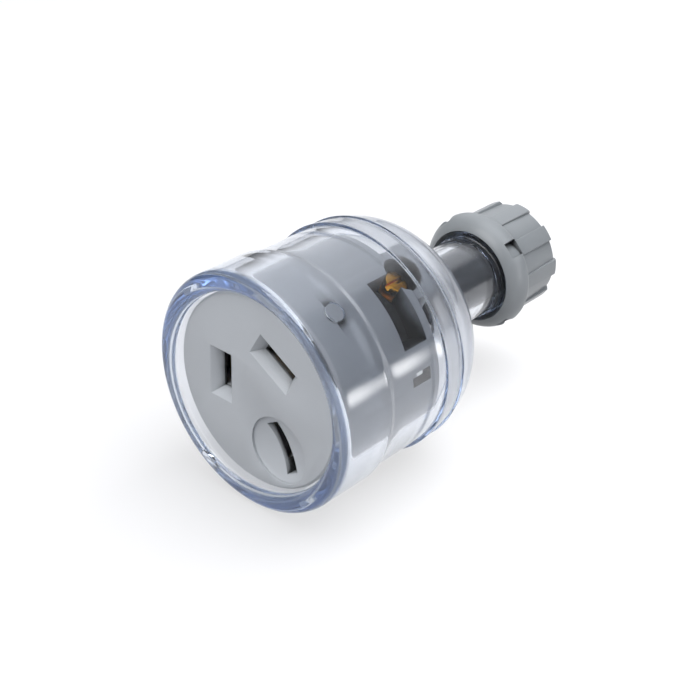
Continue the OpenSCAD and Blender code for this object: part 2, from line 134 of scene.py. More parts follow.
def new_material(name: str) -> bpy.types.Material:
    """Make an empty node material.

    Args:
        name: Name of the material.

    Returns:
        The material.
    """
    material = bpy.data.materials.new(name)
    material.use_nodes = True
    material.node_tree.nodes.clear()
    return material


def soften(bm: bmesh.types.BMesh, edges: list[bmesh.types.BMEdge], offset_mm: float, segments: int) -> None:
    """Round off edges.

    Args:
        bm: Shape that has the edges.
        edges: Edges to round off.
        offset_mm: Width of the rounding on each side.
        segments: Number of facets in the rounding.
    """
    bmesh.ops.bevel(
        bm,
        geom=edges,
        offset=offset_mm * MM,
        offset_type="OFFSET",
        affect="EDGES",
        segments=segments,
        profile=0.5,
        clamp_overlap=True,
        material=-1,
    )


def new_object(
    name: str, bm: bmesh.types.BMesh, material: Optional[bpy.types.Material] = None
) -> bpy.types.Object:
    """Turn a bmesh into a mesh object of the scene.

    Args:
        name: Name of the object and its mesh.
        bm: Its shape, in metres; it is freed.
        material: Its material, if it has one.

    Returns:
        The new object.
    """
    mesh = bpy.data.meshes.new(name)
    bm.to_mesh(mesh)
    bm.free()
    if material:
        mesh.materials.append(material)
    thing = bpy.data.objects.new(name, mesh)
    bpy.context.scene.collection.objects.link(thing)
    return thing


@dataclass(frozen=True)
class MouldedPlastic:
    """Opaque moulded thermoplastic with the fine grain of a spark-eroded mould.

    The eye gets a soft sheen, a faint grain and slight clouds of tone from uneven cooling. Where a recess
    shade colour is given, closed-in recesses are darkened with painted shade.
    """

    name: str
    colour: str
    shade: str
    roughness: float
    grain_mm: float
    grain_height_mm: float
    sheen_spread: float = 0.06
    relief_strength: float = 0.6
    cloud_mm: float = 9.0
    ior: float = 1.53
    # Painted shade: colour for closed-in recesses, how far the occlusion looks, the open range where it
    # fades, and an earlier start above a side height.
    painted_recess_shade: str = ""
    painted_shade_reach_mm: float = 5.0
    painted_shade_open: tuple[float, float] = (0.5, 0.66)
    painted_shade_side_mm: float = 8.0
    painted_shade_side_shift: float = 0.0

    def build(self) -> bpy.types.Material:
        """Make the material.

        Returns:
            The node material.
        """
        material = new_material(self.name)
        tree = material.node_tree
        place = add_node(tree, "ShaderNodeTexCoord").outputs["Object"]
        clouds = add_node(
            tree,
            "ShaderNodeTexNoise",
            inputs={"Vector": place, "Scale": per_metre(self.cloud_mm), "Detail": 3.0, "Roughness": 0.55},
        )
        # The grain is drawn several times coarser than a spark-eroded mould's, or it would not show.
        grain = add_node(
            tree,
            "ShaderNodeTexNoise",
            inputs={"Vector": place, "Scale": per_metre(self.grain_mm), "Detail": 4.0, "Roughness": 0.6},
        )
        tone = add_node(
            tree,
            "ShaderNodeMix",
            {"data_type": "RGBA"},
            {0: clouds.outputs["Fac"], 6: linear(self.shade), 7: linear(self.colour)},
        )
        colour = tone.outputs[2]
        if self.painted_recess_shade:
            # Painted shade: closed-in slots and pockets get a darker tone by how closed in they are, because
            # the soft light reaches further into them than the photograph shows. Higher than the side
            # height, the painted shade starts sooner, in the side openings.
            opening = add_node(
                tree,
                "ShaderNodeAmbientOcclusion",
                {"only_local": True, "samples": 8},
                {"Distance": self.painted_shade_reach_mm * MM},
            )
            height = add_node(tree, "ShaderNodeSeparateXYZ", inputs={0: place}).outputs["Z"]
            side = add_node(
                tree, "ShaderNodeMath", {"operation": "GREATER_THAN"}, {0: height, 1: self.painted_shade_side_mm * MM}
            )
            depth = add_node(
                tree,
                "ShaderNodeMath",
                {"operation": "MULTIPLY_ADD"},
                {0: side.outputs[0], 1: -self.painted_shade_side_shift, 2: opening.outputs["AO"]},
            )
            share = add_node(
                tree,
                "ShaderNodeMapRange",
                inputs={
                    "Value": depth.outputs[0],
                    "From Min": self.painted_shade_open[0],
                    "From Max": self.painted_shade_open[1],
                },
            )
            colour = add_node(
                tree,
                "ShaderNodeMix",
                {"data_type": "RGBA"},
                {0: share.outputs["Result"], 6: linear(self.painted_recess_shade), 7: colour},
            ).outputs[2]
        sheen = add_node(
            tree,
            "ShaderNodeMapRange",
            inputs={
                "Value": grain.outputs["Fac"],
                "To Min": self.roughness - self.sheen_spread,
                "To Max": self.roughness + self.sheen_spread,
            },
        )
        relief = add_node(
            tree,
            "ShaderNodeBump",
            inputs={
                "Height": grain.outputs["Fac"],
                "Distance": self.grain_height_mm * MM,
                "Strength": self.relief_strength,
            },
        )
        shader = add_node(
            tree,
            "ShaderNodeBsdfPrincipled",
            inputs={
                "Base Color": colour,
                "Roughness": sheen.outputs["Result"],
                "Normal": relief.outputs["Normal"],
                "IOR": self.ior,
            },
        )
        add_node(tree, "ShaderNodeOutputMaterial", inputs={"Surface": shader.outputs["BSDF"]})
        return material


@dataclass(frozen=True)
class ClearPolycarbonate:
    """Clear polycarbonate from a polished mould.

    The eye gets sharp reflections, bent views of what is inside, and a blue-grey tint where the way
    through the wall is long.
    """

    name: str = "Clear moulded polycarbonate"
    tint: str = "#F3F4F6"
    clearness: float = 0.985
    depth_tint: tuple[float, float, float, float] = (0.65, 0.73, 0.85, 1.0)
    depth_per_metre: float = 52.0
    roughness: float = 0.03
    matt: float = 0.32
    dome_ring_mm: tuple[float, float] = (8.3, 28.5)
    dome_core_mm: float = 10.6
    dome_start_mm: float = 27.0
    ior: float = 1.585
    flow_mm: float = 7.0
    flow_height_mm: float = 0.004

    def build(self) -> bpy.types.Material:
        """Make the material.

        Returns:
            The node material.
        """
        material = new_material(self.name)
        tree = material.node_tree
        place = add_node(tree, "ShaderNodeTexCoord").outputs["Object"]
        flow = add_node(
            tree,
            "ShaderNodeTexNoise",
            inputs={"Vector": place, "Scale": per_metre(self.flow_mm), "Detail": 1.0, "Distortion": 0.4},
        )
        ripple = add_node(
            tree,
            "ShaderNodeBump",
            inputs={"Height": flow.outputs["Fac"], "Distance": self.flow_height_mm * MM, "Strength": 1.0},
        )
        # The mould's core is left matt behind the rings and under the dome, so what lies inside is blurred.
        around = add_node(
            tree, "ShaderNodeVectorMath", {"operation": "MULTIPLY"}, {0: place, 1: (1.0, 1.0, 0.0)}
        )
        radius = add_node(
            tree, "ShaderNodeVectorMath", {"operation": "LENGTH"}, {0: around.outputs["Vector"]}
        )
        height = add_node(tree, "ShaderNodeSeparateXYZ", inputs={0: place}).outputs["Z"]
        section = add_node(tree, "ShaderNodeCombineXYZ", inputs={"X": radius.outputs["Value"], "Z": height})
        ring_r, ring_z = self.dome_ring_mm
        reach = add_node(
            tree,
            "ShaderNodeVectorMath",
            {"operation": "DISTANCE"},
            {0: section.outputs["Vector"], 1: (ring_r * MM, 0.0, ring_z * MM)},
        )
        core = add_node(
            tree,
            "ShaderNodeMath",
            {"operation": "LESS_THAN"},
            {0: reach.outputs["Value"], 1: self.dome_core_mm * MM},
        )
        above = add_node(
            tree, "ShaderNodeMath", {"operation": "GREATER_THAN"}, {0: height, 1: self.dome_start_mm * MM}
        )
        under = add_node(
            tree, "ShaderNodeMath", {"operation": "MULTIPLY"}, {0: core.outputs[0], 1: above.outputs[0]}
        )
        finish = add_node(
            tree,
            "ShaderNodeMapRange",
            inputs={"Value": under.outputs[0], "To Min": self.roughness, "To Max": self.matt},
        )
        wall = add_node(
            tree,
            "ShaderNodeBsdfPrincipled",
            inputs={
                "Base Color": linear(self.tint),
                "Roughness": finish.outputs["Result"],
                "IOR": self.ior,
                "Transmission Weight": self.clearness,
                "Normal": ripple.outputs["Normal"],
            },
        )
        depth = add_node(
            tree,
            "ShaderNodeVolumeAbsorption",
            inputs={"Color": self.depth_tint, "Density": self.depth_per_metre},
        )
        add_node(
            tree,
            "ShaderNodeOutputMaterial",
            inputs={"Surface": wall.outputs["BSDF"], "Volume": depth.outputs["Volume"]},
        )
        return material


@dataclass(frozen=True)
class Brass:
    """Brass with the fine lines of rolling or turning.

    The eye gets a warm metal gloss that is drawn out along the lines, with duller patches of tarnish.
    """

    name: str
    colour: str
    tarnish: str
    roughness: float
    line_mm: float
    patch_mm: float = 1.6
    line_stretch: float = 0.12
    line_height_mm: float = 0.01
    line_strength: float = 0.4
    dull_spread: tuple[float, float] = (0.08, 0.1)

    def build(self) -> bpy.types.Material:
        """Make the material.

        Returns:
            The node material.
        """
        material = new_material(self.name)
        tree = material.node_tree
        place = add_node(tree, "ShaderNodeTexCoord").outputs["Object"]
        stretch = add_node(
            tree,
            "ShaderNodeMapping",
            inputs={"Vector": place, "Scale": (self.line_stretch, self.line_stretch, 1.0)},
        )
        lines = add_node(
            tree,
            "ShaderNodeTexNoise",
            inputs={"Vector": stretch.outputs["Vector"], "Scale": per_metre(self.line_mm), "Detail": 2.0},
        )
        patches = add_node(
            tree,
            "ShaderNodeTexNoise",
            inputs={"Vector": place, "Scale": per_metre(self.patch_mm), "Detail": 3.0},
        )
        tone = add_node(
            tree,
            "ShaderNodeMix",
            {"data_type": "RGBA"},
            {0: patches.outputs["Fac"], 6: linear(self.colour), 7: linear(self.tarnish)},
        )
        dull = add_node(
            tree,
            "ShaderNodeMapRange",
            inputs={
                "Value": lines.outputs["Fac"],
                "To Min": self.roughness - self.dull_spread[0],
                "To Max": self.roughness + self.dull_spread[1],
            },
        )
        relief = add_node(
            tree,
            "ShaderNodeBump",
            inputs={
                "Height": lines.outputs["Fac"],
                "Distance": self.line_height_mm * MM,
                "Strength": self.line_strength,
            },
        )
        shader = add_node(
            tree,
            "ShaderNodeBsdfPrincipled",
            inputs={
                "Base Color": tone.outputs[2],
                "Metallic": 1.0,
                "Roughness": dull.outputs["Result"],
                "Normal": relief.outputs["Normal"],
            },
        )
        add_node(tree, "ShaderNodeOutputMaterial", inputs={"Surface": shader.outputs["BSDF"]})
        return material


@dataclass(frozen=True)
class PaperSweep:
    """White paper under the object, seen only from its printed side.

    The eye gets a clean white that keeps the object's soft shadow.
    """

    name: str
    colour: str = "#828284"
    glow: float = 0.65
    camera_only: bool = False

    def build(self) -> bpy.types.Material:
        """Make the material.

        Returns:
            The node material.
        """
        material = new_material(self.name)
        tree = material.node_tree
        path = add_node(tree, "ShaderNodeLightPath").outputs
        paper = add_node(tree, "ShaderNodeBsdfDiffuse", inputs={"Color": linear(self.colour)})
        seen = add_node(
            tree,
            "ShaderNodeMath",
            {"operation": "MAXIMUM"},
            {0: path["Is Camera Ray"], 1: path["Is Glossy Ray"]},
        )
        shown = add_node(
            tree,
            "ShaderNodeMath",
            {"operation": "MAXIMUM"},
            {0: seen.outputs[0], 1: path["Is Transmission Ray"]},
        )
        level = add_node(
            tree,
            "ShaderNodeMath",
            {"operation": "MULTIPLY"},
            {0: shown.outputs[0], 1: self.glow},
        )
        white = add_node(tree, "ShaderNodeEmission", inputs={"Strength": level.outputs[0]})
        front = add_node(tree, "ShaderNodeAddShader", inputs={0: paper.outputs[0], 1: white.outputs[0]})
        clear = add_node(tree, "ShaderNodeBsdfTransparent")
        hidden = add_node(tree, "ShaderNodeNewGeometry").outputs["Backfacing"]
        if self.camera_only:
            off = add_node(
                tree,
                "ShaderNodeMath",
                {"operation": "SUBTRACT"},
                {0: 1.0, 1: path["Is Camera Ray"]},
            )
            hidden = add_node(
                tree,
                "ShaderNodeMath",
                {"operation": "MAXIMUM"},
                {0: hidden, 1: off.outputs[0]},
            ).outputs[0]
        surface = add_node(
            tree,
            "ShaderNodeMixShader",
            inputs={0: hidden, 1: front.outputs[0], 2: clear.outputs[0]},
        )
        add_node(tree, "ShaderNodeOutputMaterial", inputs={"Surface": surface.outputs[0]})
        return material


@dataclass(frozen=True)
class GlowingCloth:
    """Cloth of a small softbox, bright in its middle and fading out to its edges.

    The eye gets soft highlights without a hard border.
    """

    name: str
    middle: Vector
    turn: Matrix
    half_sizes: tuple[float, float]
    level: float
    full_share: float = 0.1

    def build(self) -> bpy.types.Material:
        """Make the material.

        Returns:
            The node material.
        """
        material = new_material(self.name)
        tree = material.node_tree
        place = add_node(tree, "ShaderNodeTexCoord").outputs["Object"]
        local = add_node(
            tree,
            "ShaderNodeMapping",
            {"vector_type": "TEXTURE"},
            {
                "Vector": place,
                "Location": self.middle,
                "Rotation": self.turn.to_euler(),
                "Scale": (*self.half_sizes, 1.0),
            },
        )
        reach = add_node(
            tree, "ShaderNodeVectorMath", {"operation": "LENGTH"}, {0: local.outputs["Vector"]}
        )
        fade = add_node(
            tree,
            "ShaderNodeMapRange",
            {"interpolation_type": "SMOOTHSTEP"},
            {
                "Value": reach.outputs["Value"],
                "From Min": self.full_share,
                "From Max": 1.0,
                "To Min": self.level,
                "To Max": 0.0,
            },
        )
        glow = add_node(tree, "ShaderNodeEmission", inputs={"Strength": fade.outputs["Result"]})
        # The faded border lets the other cloth and the room through, or it would show as a dark edge.
        clear = add_node(tree, "ShaderNodeBsdfTransparent")
        cloth = add_node(
            tree, "ShaderNodeAddShader", inputs={0: glow.outputs["Emission"], 1: clear.outputs["BSDF"]}
        )
        add_node(tree, "ShaderNodeOutputMaterial", inputs={"Surface": cloth.outputs["Shader"]})
        return material


class Outline:
    """Radius-height outline that grows point by point and is then spun about the axis."""

    def __init__(self, r: float, z: float) -> None:
        """Start the outline at a point.

        Args:
            r: Radius in millimetres.
            z: Height in millimetres.
        """
        self.bm = bmesh.new()
        self.first = self.bm.verts.new((r * MM, 0, z * MM))
        self.tip = self.first

    def line(self, r: float, z: float, rows: int = 1) -> "Outline":
        """Draw a straight line to a new point.

        Args:
            r: Radius of the new point.
            z: Height of the new point.
            rows: Number of equal steps along the line.

        Returns:
            The outline itself.
        """
        step = (Vector((r * MM, 0, z * MM)) - self.tip.co) / rows
        for _ in range(rows):
            grown = bmesh.ops.extrude_vert_indiv(self.bm, verts=[self.tip])["verts"]
            bmesh.ops.translate(self.bm, verts=grown, vec=step)
            self.tip = grown[0]
        return self

    def arc(self, r: float, z: float, degrees: float, steps: int) -> "Outline":
        """Swing the last point about a centre.

        Args:
            r: Radius of the centre.
            z: Height of the centre.
            degrees: Turn, positive from +r towards +z.
            steps: Number of chords.

        Returns:
            The outline itself.
        """
        swung = bmesh.ops.spin(
            self.bm,
            geom=[self.tip],
            cent=(r * MM, 0, z * MM),
            axis=(0, -1, 0),
            angle=math.radians(degrees),
            steps=steps,
            use_merge=False,
            use_duplicate=False,
        )
        self.tip = next(g for g in swung["geom_last"] if isinstance(g, bmesh.types.BMVert))
        return self

    def spun(self, steps: int) -> bmesh.types.BMesh:
        """Close the outline and spin it into a ring-shaped shell.

        Args:
            steps: Number of segments round the axis.

        Returns:
            The closed shell with its faces outwards.
        """
        self.bm.edges.new((self.tip, self.first))
        bmesh.ops.remove_doubles(self.bm, verts=self.bm.verts, dist=OUTLINE_MERGE_MM * MM)
        bmesh.ops.spin(
            self.bm,
            geom=self.bm.verts[:] + self.bm.edges[:],
            cent=(0, 0, 0),
            axis=(0, 0, 1),
            angle=2 * math.pi,
            steps=steps,
            use_merge=True,
            use_duplicate=False,
        )
        bmesh.ops.remove_doubles(self.bm, verts=self.bm.verts, dist=SHELL_MERGE_MM * MM)
        bmesh.ops.recalc_face_normals(self.bm, faces=self.bm.faces)
        return self.bm


def radius_of(co: Vector) -> float:
    """Distance of a point from the axis, in millimetres."""
    return math.hypot(co.x, co.y) / MM


def azimuth_of(co: Vector) -> float:
    """Azimuth of a point about the axis, in degrees from 0 to 360."""
    return math.degrees(math.atan2(co.y, co.x)) % 360


def set_radius(vert: bmesh.types.BMVert, r: float) -> None:
    """Move a vertex along its own radius.

    Args:
        vert: Vertex that moves.
        r: Its new radius in millimetres.
    """
    scale = r / radius_of(vert.co)
    vert.co.x *= scale
    vert.co.y *= scale


def round_rings(bm: bmesh.types.BMesh, rings: list[tuple[float, float, float]], segments: int = 3) -> None:
    """Round off whole rings of edges.

    Args:
        bm: Shell that is spun about the axis.
        rings: Radius, height and rounding of each ring, in millimetres.
        segments: Number of facets in a rounding.
    """
    for r, z, rounding in rings:
        edges = [
            e
            for e in bm.edges
            if all(
                abs(radius_of(v.co) - r) < RING_TOLERANCE_MM and abs(v.co.z / MM - z) < RING_TOLERANCE_MM
                for v in e.verts
            )
        ]
        soften(bm, edges, rounding, segments)


def cut_thread(
    bm: bmesh.types.BMesh,
    r: float,
    low: float,
    high: float,
    pitch: float,
    rise: float,
    phase: float = 0.0,
) -> None:
    """Raise a right-hand thread on a cylindrical wall.

    Args:
        bm: Shell whose wall has fine rows.
        r: Radius of the wall.
        low: Height where the thread starts.
        high: Height where the thread ends.
        pitch: Distance between two turns.
        rise: Height of the thread, negative towards the axis.
        phase: Share of a turn by which the thread is shifted.
    """
    for vert in bm.verts:
        z = vert.co.z / MM
        if low < z < high and abs(radius_of(vert.co) - r) < RING_TOLERANCE_MM:
            turn = (z / pitch - azimuth_of(vert.co) / 360 + phase) % 1
            tooth = min(1.0, max(0.0, THREAD_FLANK * (0.5 - abs(turn - 0.5)) * 2 - THREAD_ROOT))
            fade = min(1.0, (z - low) / (0.5 * pitch), (high - z) / (0.5 * pitch))
            set_radius(vert, r + rise * tooth * fade)


def finish_piece(
    name: str,
    bm: bmesh.types.BMesh,
    material: bpy.types.Material,
    body: Body,
    node: str,
    sharp_degrees: float = SHARP_DEGREES,
) -> bpy.types.Object:
    """Turn a bmesh into a piece that stands for a CAD node.

    Args:
        name: Name of the piece.
        bm: Its shape, in metres; it is freed.
        material: Its material.
        body: Body that it rides on.
        node: CAD node that it replaces.
        sharp_degrees: Edges that turn more than this stay sharp.

    Returns:
        The new object.
    """
    piece = new_object(name, bm, material)
    for face in piece.data.polygons:
        face.use_smooth = True
    piece.data.set_sharp_from_angle(angle=math.radians(sharp_degrees))
    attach(piece, body.value)
    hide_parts(node)
    log.info("%s: %d faces, rides on %s", name, len(piece.data.polygons), body.value)
    return piece


def cut_away(target: bpy.types.Object, cutter: bpy.types.Object) -> None:
    """Cut one mesh object out of another and delete the cutter.

    Args:
        target: Object that is cut.
        cutter: Closed object that is taken away.
    """
    cut = target.modifiers.new("cut", "BOOLEAN")
    cut.operation = "DIFFERENCE"
    cut.solver = "EXACT"
    cut.object = cutter
    shaped = bpy.data.meshes.new_from_object(target.evaluated_get(bpy.context.evaluated_depsgraph_get()))
    target.modifiers.clear()
    old = target.data
    shaped.name = old.name + "_cut"
    target.data = shaped
    bpy.data.meshes.remove(old)
    bpy.data.objects.remove(cutter)


@dataclass
class ClearCover:
    """Clear cover: front sleeve, body with two rings, dome, and a neck with a threaded end."""

    segments: int = 256
    rim_r: float = 21.19
    rim_round: float = 1.4
    bore_r: float = 17.6
    lip_round: float = 1.5
    bore_end: float = 31.0
    sleeve_end: float = 11.0
    slope_end: float = 12.4
    body_r: float = 20.4
    ring: tuple[float, float] = (20.95, 25.4)
    ring_tail: tuple[float, float] = (20.6, 28.68)
    back_ring: tuple[float, float] = (20.8, 29.6)
    back_ring_foot: float = 20.55
    back_ring_fade: tuple[float, float] = (20.226, 31.51)
    dome_centre: tuple[float, float] = (8.3, 28.5)
    dome_start: float = 14.165
    cone_angle: float = 60.0
    inner_dome: tuple[float, float] = (12.75, 36.208)
    inner_dome_end: float = 16.315
    inner_cone_end: float = 40.22
    fillet_foot: tuple[float, float] = (8.5, 42.588)
    fillet_centre: tuple[float, float] = (9.5, 44.32)
    neck_r: float = 7.5
    neck_bore_r: float = 5.8
    neck_end: float = 64.265
    thread_r: float = 7.75
    thread_start: float = 56.265
    thread_pitch: float = 2.0
    thread_rise: float = 0.22
    pip_r: float = 1.6
    pip_z: float = 8.5
    pip_reach: tuple[float, float] = (16.5, 18.3)
    pip_azimuths: tuple[float, float] = (153.0, 333.0)
    pip_segments: int = 40
    step_round: float = 0.4
    ring_rounds: tuple[float, float] = (0.1, 0.12)
    back_ring_rounds: tuple[float, float] = (0.08, 0.12)
    bore_round: float = 0.3
    neck_round: float = 0.25
    thread_gap: float = 0.1

    def shell(self) -> bmesh.types.BMesh:
        """Spin the wall of the cover.

        Returns:
            The closed wall, with rounded edges and a threaded end.
        """
        flat_r = self.rim_r - self.rim_round
        outline = Outline(self.bore_r + self.lip_round, 0)
        outline.line(flat_r, 0)
        outline.arc(flat_r, self.rim_round, 90, 10)
        outline.line(self.rim_r, self.sleeve_end, 12)
        outline.line(self.body_r, self.slope_end, 2)
        outline.line(self.body_r, self.ring[1], 6)
        outline.line(*self.ring).line(*self.ring_tail, 3)
        outline.line(self.back_ring_foot, self.back_ring[1])
        outline.line(*self.back_ring).line(*self.back_ring_fade, 2)
        outline.arc(*self.dome_centre, self.cone_angle - self.dome_start, 24)
        outline.line(*self.fillet_foot, 3)
        outline.arc(*self.fillet_centre, -self.cone_angle, 8)
        outline.line(self.neck_r, self.thread_start, 4)
        outline.line(self.thread_r, self.thread_start)
        outline.line(self.thread_r, self.neck_end, 40)
        outline.line(self.neck_bore_r, self.neck_end)
        outline.line(self.neck_bore_r, self.inner_cone_end, 4)
        outline.line(*self.inner_dome, 3)
        outline.arc(*self.dome_centre, self.inner_dome_end - self.cone_angle, 18)
        outline.line(self.bore_r, self.bore_end)
        outline.line(self.bore_r, self.lip_round, 26)
        outline.arc(self.bore_r + self.lip_round, self.lip_round, 90, 10)
        bm = outline.spun(self.segments)
        thread_low = self.thread_start + self.thread_gap
        cut_thread(bm, self.thread_r, thread_low, self.neck_end, self.thread_pitch, self.thread_rise)
        round_rings(
            bm,
            [
                (self.rim_r, self.sleeve_end, self.step_round),
                (self.body_r, self.slope_end, self.step_round),
                (self.body_r, self.ring[1], self.ring_rounds[0]),
                (*self.ring, self.ring_rounds[1]),
                (self.back_ring_foot, self.back_ring[1], self.back_ring_rounds[0]),
                (*self.back_ring, self.back_ring_rounds[1]),
                (self.bore_r, self.bore_end, self.bore_round),
                (self.neck_bore_r, self.neck_end, self.neck_round),
            ],
        )
        return bm

    def pip_cutter(self) -> bpy.types.Object:
        """Make the two round cutters of the blind pip holes.

        Returns:
            One object that holds both cutters.
        """
        bm = bmesh.new()
        for azimuth in self.pip_azimuths:
            middle = Matrix.Translation((sum(self.pip_reach) / 2 * MM, 0, self.pip_z * MM))
            bmesh.ops.create_cone(
                bm,
                cap_ends=True,
                segments=self.pip_segments,
                radius1=self.pip_r * MM,
                radius2=self.pip_r * MM,
                depth=(self.pip_reach[1] - self.pip_reach[0]) * MM,
                matrix=Matrix.Rotation(math.radians(azimuth), 4, "Z")
                @ middle
                @ Matrix.Rotation(math.pi / 2, 4, "Y"),
            )
        return new_object("pip_cutter", bm)

    def build(self, material: bpy.types.Material) -> bpy.types.Object:
        """Make the cover with its pip holes.

        Args:
            material: Clear material of the wall.

        Returns:
            The finished piece.
        """
        cover = finish_piece(
            "clear_cover_moulding", self.shell(), material, Body.SOCKET, "clear_cover"
        )
        cut_away(cover, self.pip_cutter())
        cover.data.set_sharp_from_angle(angle=math.radians(SHARP_DEGREES))
        return cover


@dataclass
class GlandNut:
    """Gland nut: rounded collar with pockets, grip with raised pads, and an inner thread."""

    segments: int = 360
    opening: tuple[float, float] = (8.25, 58.9)
    front: tuple[float, float] = (8.787, 57.465)
    front_flank: tuple[float, float] = (7.45, 60.915)
    front_turns: tuple[float, float, float] = (-68.82, -32.72, 0.0)
    rear_flank: tuple[float, float] = (10.15, 60.915)
    rear_turns: tuple[float, float, float] = (0.0, 44.43, 90.0)
    collar_end: float = 61.915
    grip_r: float = 9.8
    pad_start: float = 62.0
    grip_back: tuple[float, float] = (9.4, 71.465)
    end_z: float = 71.9645
    chamfer: float = 0.5
    cord_r: float = 5.3
    wall_z: float = 69.765
    cone: tuple[float, float] = (6.323, 7.092)
    shoulder_z: float = 66.765
    bore_r: float = 8.05
    bore_start: float = 59.1
    pad_count: int = 9
    pad_azimuth: float = 168.0
    pad_sweep: float = 18.0
    pad_rise: tuple[float, float] = (0.25, 0.6)
    pocket_count: int = 4
    pocket_azimuth: float = 166.0
    pocket_sweep: float = 16.0
    pocket_reach: tuple[float, float] = (58.915, 61.615)
    pocket_floor: tuple[float, float] = (9.55, 10.45)
    pad_round: float = 0.14
    pad_facets: int = 2
    mouth_round: float = 0.12
    collar_round: float = 0.08
    cord_round: float = 0.12
    thread_phase: float = 0.5
    thread_pitch: float = 2.0
    thread_rise: float = 0.22

    def shell(self) -> bmesh.types.BMesh:
        """Spin the nut's body before its pads and pockets are made.

        Returns:
            The closed body.
        """
        back_r, back_z = self.grip_back
        outline = Outline(*self.opening)
        outline.line(*self.front)
        for centre, turns in ((self.front_flank, self.front_turns), (self.rear_flank, self.rear_turns)):
            for low, high in zip(turns[:-1], turns[1:]):
                outline.arc(*centre, high - low, 10)
        outline.line(self.grip_r, self.collar_end)
        outline.line(self.grip_r, self.pad_start)
        outline.line(back_r, back_z, 8)
        outline.line(back_r - self.chamfer, self.end_z)
        outline.line(self.cord_r + self.chamfer, self.end_z)
        outline.line(self.cord_r, self.end_z - self.chamfer)
        outline.line(self.cord_r, self.wall_z)
        outline.line(self.cone[0], self.wall_z)
        outline.line(self.cone[1], self.shoulder_z)
        outline.line(self.bore_r, self.shoulder_z)
        outline.line(self.bore_r, self.bore_start, 40)
        return outline.spun(self.segments)

    def in_sector(self, azimuth: float, middle: float, sweep: float, count: int) -> bool:
        """Tell whether an azimuth lies in one of several equal sectors.

        Args:
            azimuth: Azimuth to test.
            middle: Middle of the first sector.
            sweep: Width of each sector.
            count: Number of sectors round the axis.

        Returns:
            True inside a sector.
        """
        pitch = 360 / count
        return abs((azimuth - middle + pitch / 2) % pitch - pitch / 2) < sweep / 2

    def extrude(
        self, bm: bmesh.types.BMesh, chosen: list[bmesh.types.BMFace], place: Callable[[Vector], float]
    ) -> list[bmesh.types.BMEdge]:
        """Extrude faces and move each new vertex to a radius of its own.

        Args:
            bm: Shell of the nut.
            chosen: Faces to extrude.
            place: Function that gives a vertex's new radius from its old place.

        Returns:
            Edges round the moved faces.
        """
        grown = bmesh.ops.extrude_face_region(bm, geom=chosen)["geom"]
        for vert in (g for g in grown if isinstance(g, bmesh.types.BMVert)):
            set_radius(vert, place(vert.co))
        faces = {g for g in grown if isinstance(g, bmesh.types.BMFace)}
        bmesh.ops.delete(bm, geom=[f for f in chosen if f.is_valid], context="FACES_ONLY")
        return [e for f in faces for e in f.edges if sum(g in faces for g in e.link_faces) == 1]

    def raise_pads(self, bm: bmesh.types.BMesh) -> None:
        """Raise the grip's pads and soften their edges.

        Args:
            bm: Shell of the nut.
        """
        back_z = self.grip_back[1]

        def is_pad(face: bmesh.types.BMFace) -> bool:
            """Tell whether a face of the grip lies under a pad.

            Args:
                face: Face to test.

            Returns:
                True under a pad.
            """
            middle = face.calc_center_median()
            z = middle.z / MM
            return (
                self.pad_start < z < self.end_z
                and radius_of(middle) > self.grip_back[0] - self.chamfer
                and face.normal.xy.dot(middle.xy) > 0
                and self.in_sector(azimuth_of(middle), self.pad_azimuth, self.pad_sweep, self.pad_count)
            )

        def lift(co: Vector) -> float:
            """Radius of a pad's top over a place on the grip."""
            share = min(1.0, (co.z / MM - self.pad_start) / (back_z - self.pad_start))
            return radius_of(co) + self.pad_rise[0] + share * (self.pad_rise[1] - self.pad_rise[0])

        bm.faces.ensure_lookup_table()
        rim = self.extrude(bm, [f for f in bm.faces if is_pad(f)], lift)
        soften(bm, list(set(rim)), self.pad_round, self.pad_facets)

    def sink_pockets(self, bm: bmesh.types.BMesh) -> None:
        """Sink the ramped pockets into the collar.

        Args:
            bm: Shell of the nut.
        """
        low, high = self.pocket_reach
        pitch = 360 / self.pocket_count

        def is_pocket(face: bmesh.types.BMFace) -> bool:
            """Tell whether a face of the collar lies over a pocket.

            Args:
                face: Face to test.

            Returns:
                True over a pocket.
            """
            middle = face.calc_center_median()
            return (
                low < middle.z / MM < high
                and radius_of(middle) > self.grip_r
                and self.in_sector(
                    azimuth_of(middle), self.pocket_azimuth, self.pocket_sweep, self.pocket_count
                )
            )

        def ramp(co: Vector) -> float:
            """Give the radius of a pocket's floor.

            Args:
                co: Place on the collar over the floor.

            Returns:
                Radius in millimetres.
            """
            turn = (azimuth_of(co) - self.pocket_azimuth + pitch / 2) % pitch - pitch / 2
            share = turn / self.pocket_sweep + 0.5
            return self.pocket_floor[0] + share * (self.pocket_floor[1] - self.pocket_floor[0])

        self.extrude(bm, [f for f in bm.faces if is_pocket(f)], ramp)

    def build(self, material: bpy.types.Material) -> bpy.types.Object:
        """Make the nut.

        Args:
            material: Plastic of the nut.

        Returns:
            The finished piece.
        """
        bm = self.shell()
        cut_thread(
            bm,
            self.bore_r,
            self.bore_start,
            self.shoulder_z,
            self.thread_pitch,
            -self.thread_rise,
            self.thread_phase,
        )
        self.raise_pads(bm)
        self.sink_pockets(bm)
        round_rings(
            bm,
            [
                (*self.opening, self.mouth_round),
                (self.grip_r, self.collar_end, self.collar_round),
                (self.cord_r + self.chamfer, self.end_z, self.cord_round),
            ],
        )
        bmesh.ops.recalc_face_normals(bm, faces=bm.faces)
        return finish_piece("gland_nut_moulding", bm, material, Body.GLAND_NUT, "gland_nut")


